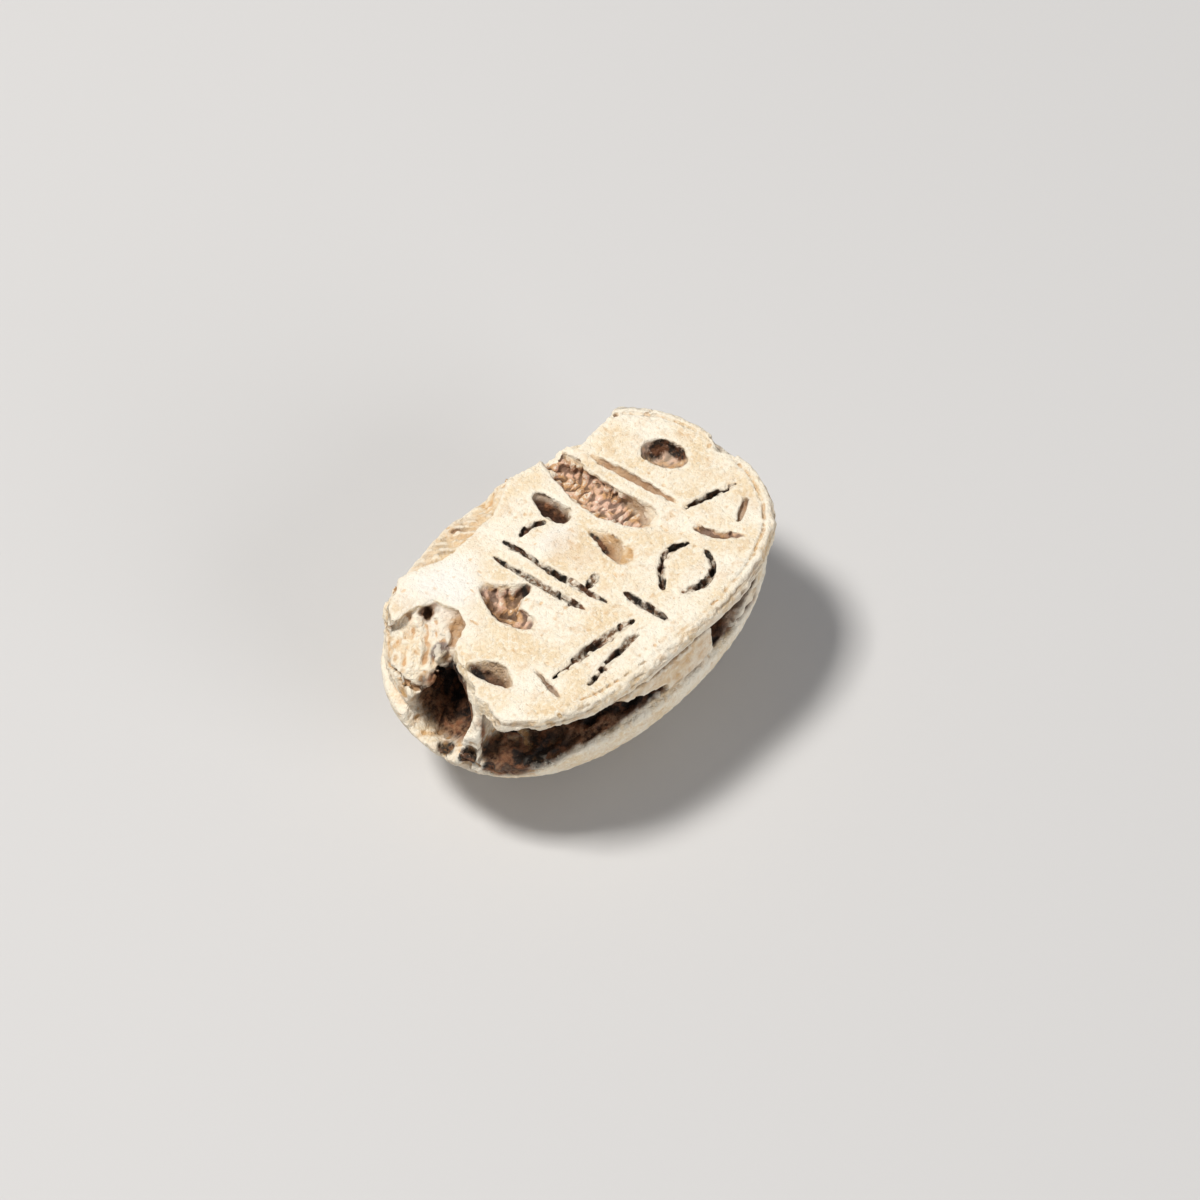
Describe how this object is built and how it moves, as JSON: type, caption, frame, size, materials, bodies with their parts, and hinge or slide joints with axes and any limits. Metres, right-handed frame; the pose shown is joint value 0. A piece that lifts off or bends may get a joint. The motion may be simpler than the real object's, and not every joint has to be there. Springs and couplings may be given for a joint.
{
  "type": "scarab amulet",
  "caption": "Ancient scarab amulet of carved pale steatite: oval base cut with rows of strokes, worn beetle back, lengthwise bore, base edge broken away over the bore.",
  "frame": {"origin": "on the ground under the middle of the amulet's box, as it lies on its back with the marked face of the base up", "axes": "+Z out of the marked face of the base, +X along the lengthwise bore towards the beetle's head, +Y across"},
  "size_m": [0.0168, 0.0114, 0.0074],
  "materials": {
    "steatite": "matt cream and ivory steatite, worn smooth on the high places, with ochre and red-brown residue in the cuts"
  },
  "bodies": {
    "root": {"scarab": "steatite"}
  },
  "joints": []
}
